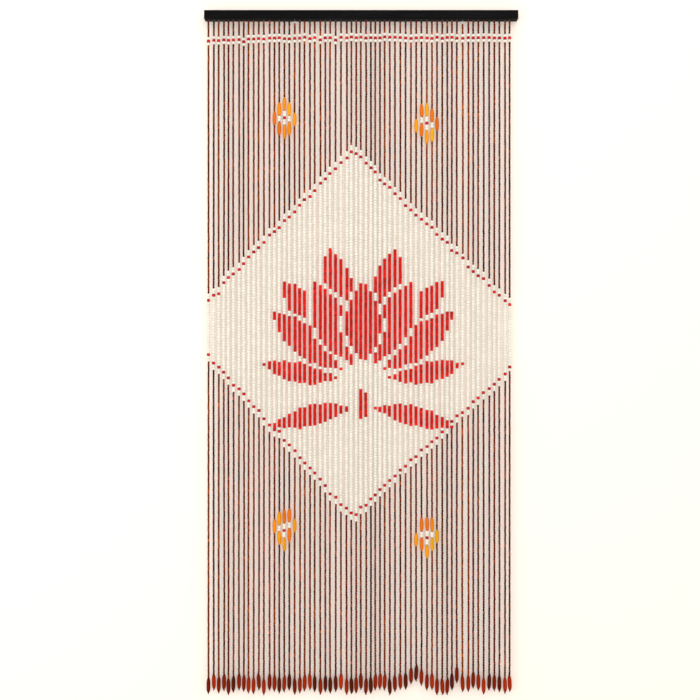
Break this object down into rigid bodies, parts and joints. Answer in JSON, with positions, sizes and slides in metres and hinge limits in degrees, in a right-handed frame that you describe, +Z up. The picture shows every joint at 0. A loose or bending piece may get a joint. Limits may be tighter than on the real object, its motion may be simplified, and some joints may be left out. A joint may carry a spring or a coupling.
{
  "type": "bead curtain with wooden head bar",
  "caption": "Hanging bead curtain: a black wooden head bar with sixty wooden bead strands, a cream diamond, small flowers and spindle end drops.",
  "frame": {"origin": "centre of the head bar's flat back face", "axes": "+Z up, +Y out of the back face towards the wall or doorway it hangs on, +X to the right as seen from the show side"},
  "size_m": [0.9, 0.028, 1.9663],
  "materials": {
    "black_wood": "matt black stained wood",
    "brown_beads": "lacquered brown wood, mixed tones",
    "cream_beads": "satin cream lacquer on wood",
    "red_beads": "glossy red lacquer on wood",
    "orange_beads": "glossy orange lacquer on wood",
    "rust_beads": "glossy rust-brown lacquer on wood",
    "thread": "white braided thread"
  },
  "bodies": {
    "root": {"head_bar": "black_wood", "strand_comb": "brown_beads"}
  },
  "joints": []
}
